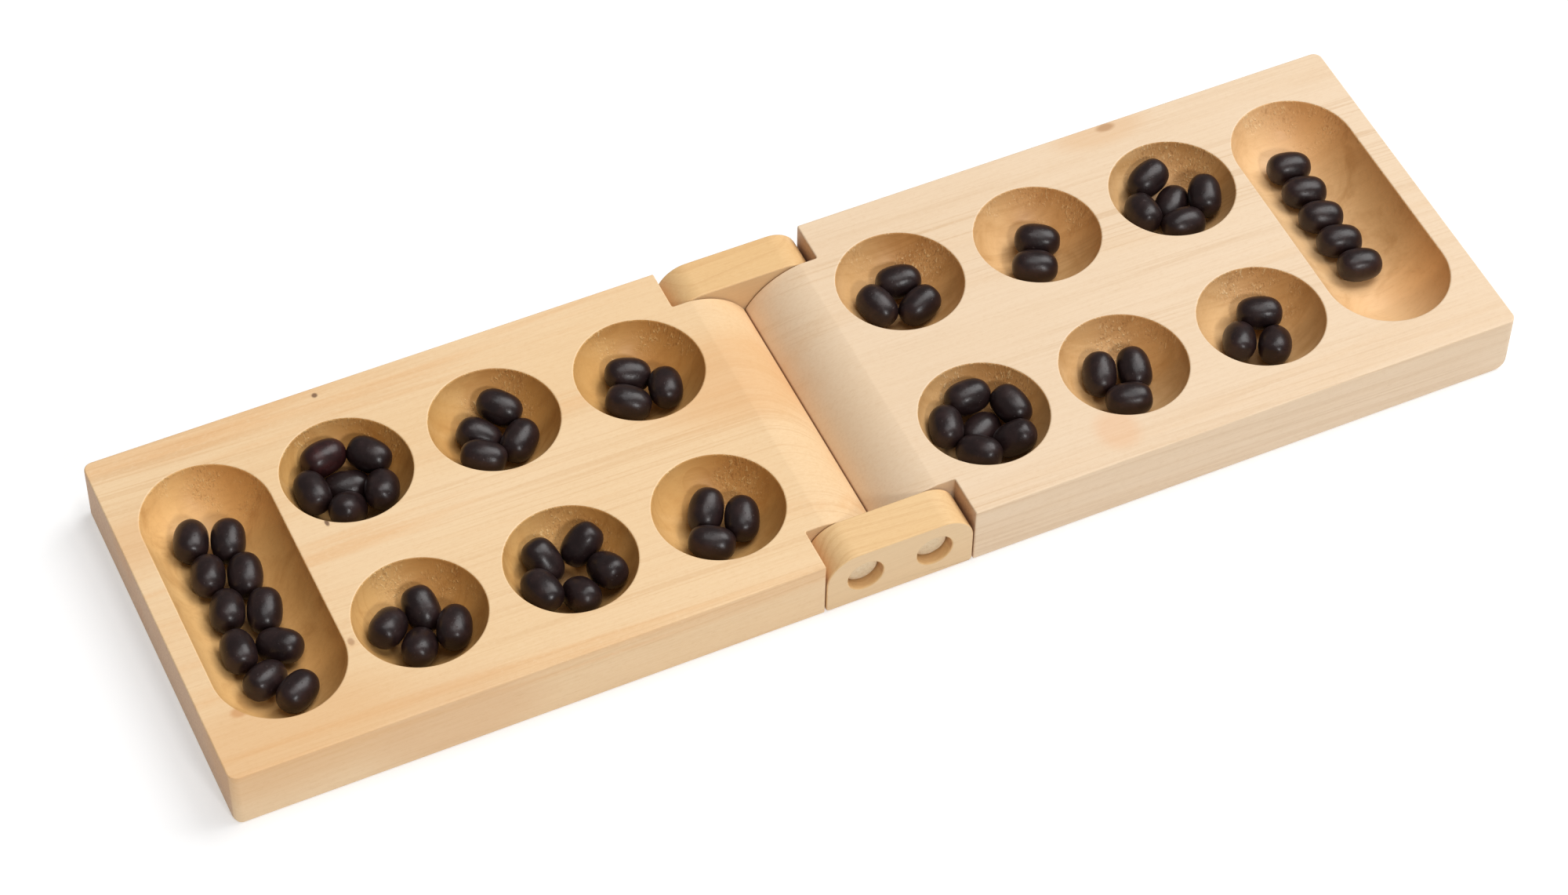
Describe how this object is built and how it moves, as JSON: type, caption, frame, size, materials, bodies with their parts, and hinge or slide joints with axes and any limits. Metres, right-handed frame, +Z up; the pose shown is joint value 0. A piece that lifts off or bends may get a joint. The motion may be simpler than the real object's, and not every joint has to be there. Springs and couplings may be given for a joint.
{
  "type": "folding mancala board",
  "caption": "Folding wooden pit-and-store game board in two halves, hinged by wooden links on dowels, with seeds in its hollows.",
  "frame": {"origin": "under the middle of the seam, on the table that the open board lies on", "axes": "+X along the open board from the seam to the right half, +Y to its back edge, +Z up out of the pits"},
  "size_m": [0.3674, 0.11, 0.0193],
  "materials": {
    "left_board_wood": "satin",
    "right_board_wood": "satin",
    "link_wood": "satin",
    "dowel_wood": "matte",
    "seed": "satin"
  },
  "bodies": {
    "left_half": {"left_board": "left_board_wood", "left_front_dowel": "dowel_wood", "left_back_dowel": "dowel_wood"},
    "hinge_links": {"front_link": "link_wood", "back_link": "link_wood"},
    "right_half": {"right_board": "right_board_wood", "right_front_dowel": "dowel_wood", "right_back_dowel": "dowel_wood"},
    "left_store_seeds": {"left_store_seeds_1": "seed", "left_store_seeds_2": "seed", "left_store_seeds_3": "seed", "left_store_seeds_4": "seed", "left_store_seeds_5": "seed"},
    "left_outer_back_seeds": {"left_outer_back_seed_2": "seed", "left_outer_back_seed_3": "seed", "left_outer_back_seed_4": "seed", "left_outer_back_seed_5": "seed", "left_outer_back_seeds_1": "seed"},
    "left_mid_back_seeds": {"left_mid_back_seed_1": "seed", "left_mid_back_seed_2": "seed", "left_mid_back_seed_3": "seed", "left_mid_back_seed_4": "seed"},
    "left_inner_back_seeds": {"left_inner_back_seed_1": "seed", "left_inner_back_seed_2": "seed", "left_inner_back_seed_3": "seed"},
    "left_outer_front_seeds": {"left_outer_front_seed_1": "seed", "left_outer_front_seed_2": "seed", "left_outer_front_seed_3": "seed", "left_outer_front_seed_4": "seed"},
    "left_mid_front_seeds": {"left_mid_front_seed_2": "seed", "left_mid_front_seed_3": "seed", "left_mid_front_seed_4": "seed", "left_mid_front_seeds_1": "seed"},
    "left_inner_front_seeds": {"left_inner_front_seed_1": "seed", "left_inner_front_seed_2": "seed", "left_inner_front_seed_3": "seed"},
    "right_inner_back_seeds": {"right_inner_back_seed_1": "seed", "right_inner_back_seed_2": "seed", "right_inner_back_seed_3": "seed"},
    "right_mid_back_seeds": {"right_mid_back_seed_1": "seed", "right_mid_back_seed_2": "seed"},
    "right_outer_back_seeds": {"right_outer_back_seed_2": "seed", "right_outer_back_seed_3": "seed", "right_outer_back_seed_4": "seed", "right_outer_back_seeds_1": "seed"},
    "right_inner_front_seeds": {"right_inner_front_seed_2": "seed", "right_inner_front_seed_3": "seed", "right_inner_front_seed_4": "seed", "right_inner_front_seed_5": "seed", "right_inner_front_seeds_1": "seed"},
    "right_mid_front_seeds": {"right_mid_front_seed_1": "seed", "right_mid_front_seed_2": "seed", "right_mid_front_seed_3": "seed"},
    "right_outer_front_seeds": {"right_outer_front_seed_1": "seed", "right_outer_front_seed_2": "seed", "right_outer_front_seed_3": "seed"},
    "right_store_seeds": {"right_store_seed_2": "seed", "right_store_seed_3": "seed", "right_store_seed_4": "seed", "right_store_seeds_1": "seed"}
  },
  "joints": [
    {"name": "left_fold", "type": "hinge", "parent": "left_half", "child": "hinge_links", "pos_m": [-0.0099, 0, 0.0095], "axis": [0, 1, 0], "range_deg": [-90, 0]},
    {"name": "right_fold", "type": "hinge", "parent": "hinge_links", "child": "right_half", "pos_m": [0.0099, 0, 0.0095], "axis": [0, 1, 0], "range_deg": [-90, 0]},
    {"name": "left_store_lift", "type": "slide", "parent": "left_half", "child": "left_store_seeds", "axis": [0, 0, 1], "range_m": [0, 0.04]},
    {"name": "left_outer_back_lift", "type": "slide", "parent": "left_half", "child": "left_outer_back_seeds", "axis": [0, 0, 1], "range_m": [0, 0.04]},
    {"name": "left_mid_back_lift", "type": "slide", "parent": "left_half", "child": "left_mid_back_seeds", "axis": [0, 0, 1], "range_m": [0, 0.04]},
    {"name": "left_inner_back_lift", "type": "slide", "parent": "left_half", "child": "left_inner_back_seeds", "axis": [0, 0, 1], "range_m": [0, 0.04]},
    {"name": "left_outer_front_lift", "type": "slide", "parent": "left_half", "child": "left_outer_front_seeds", "axis": [0, 0, 1], "range_m": [0, 0.04]},
    {"name": "left_mid_front_lift", "type": "slide", "parent": "left_half", "child": "left_mid_front_seeds", "axis": [0, 0, 1], "range_m": [0, 0.04]},
    {"name": "left_inner_front_lift", "type": "slide", "parent": "left_half", "child": "left_inner_front_seeds", "axis": [0, 0, 1], "range_m": [0, 0.04]},
    {"name": "right_inner_back_lift", "type": "slide", "parent": "right_half", "child": "right_inner_back_seeds", "axis": [0, 0, 1], "range_m": [0, 0.04]},
    {"name": "right_mid_back_lift", "type": "slide", "parent": "right_half", "child": "right_mid_back_seeds", "axis": [0, 0, 1], "range_m": [0, 0.04]},
    {"name": "right_outer_back_lift", "type": "slide", "parent": "right_half", "child": "right_outer_back_seeds", "axis": [0, 0, 1], "range_m": [0, 0.04]},
    {"name": "right_inner_front_lift", "type": "slide", "parent": "right_half", "child": "right_inner_front_seeds", "axis": [0, 0, 1], "range_m": [0, 0.04]},
    {"name": "right_mid_front_lift", "type": "slide", "parent": "right_half", "child": "right_mid_front_seeds", "axis": [0, 0, 1], "range_m": [0, 0.04]},
    {"name": "right_outer_front_lift", "type": "slide", "parent": "right_half", "child": "right_outer_front_seeds", "axis": [0, 0, 1], "range_m": [0, 0.04]},
    {"name": "right_store_lift", "type": "slide", "parent": "right_half", "child": "right_store_seeds", "axis": [0, 0, 1], "range_m": [0, 0.04]}
  ]
}
